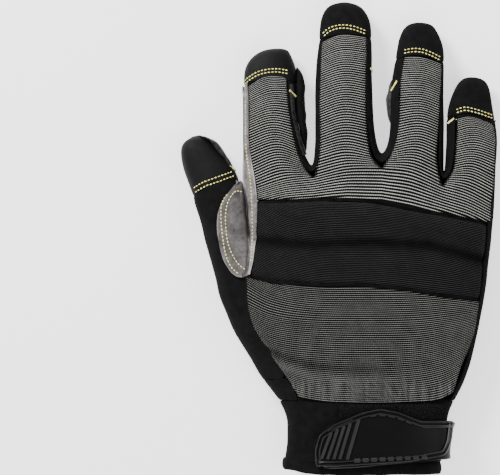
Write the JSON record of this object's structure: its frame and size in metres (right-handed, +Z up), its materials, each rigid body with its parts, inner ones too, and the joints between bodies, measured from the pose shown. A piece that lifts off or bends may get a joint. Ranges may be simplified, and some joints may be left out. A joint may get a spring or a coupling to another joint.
{
  "type": "mechanic glove",
  "caption": "Right-hand mechanic glove lying palm down: ribbed fabric back, padded knuckle band, suede palm patches, wrist strap.",
  "frame": {"origin": "middle of the bounding box's bottom face, on the surface the glove lies on", "axes": "+Y from the cuff towards the fingertips, +Z up through the back of the hand, -X towards the thumb"},
  "size_m": [0.1648, 0.246, 0.032],
  "materials": {
    "rib_fabric": "ribbed stretch weave, matt",
    "pad_fabric": "black ribbed stretch weave over foam",
    "black_suede": "black synthetic suede",
    "grey_suede": "grey synthetic suede",
    "smooth_leather": "smooth grained black leather",
    "loop_pile": "fuzzy loop pile",
    "strap_rubber": "moulded, satin",
    "red_webbing": "woven tape",
    "thread": "yellow sewing thread"
  },
  "bodies": {
    "root": {"back_panel_upper": "rib_fabric", "back_panel_lower": "rib_fabric", "knuckle_pad_upper": "pad_fabric", "knuckle_pad_lower": "pad_fabric", "index_side_patch": "grey_suede", "side_little": "black_suede", "fourchette_index_middle": "black_suede", "fourchette_middle_ring": "black_suede", "fourchette_ring_little": "black_suede", "palm_panel": "black_suede", "tip_index": "smooth_leather", "tip_middle": "black_suede", "tip_ring": "black_suede", "tip_little": "black_suede", "thumb_shell": "black_suede", "thumb_cap": "smooth_leather", "thumb_patch": "grey_suede", "palm_patch_fingers": "grey_suede", "palm_patch_heel": "grey_suede", "palm_patch_thumb": "grey_suede", "cuff": "black_suede", "cuff_binding": "black_suede", "loop_field": "loop_pile", "wrist_strap": "strap_rubber", "pull_loop": "red_webbing"}
  },
  "joints": []
}
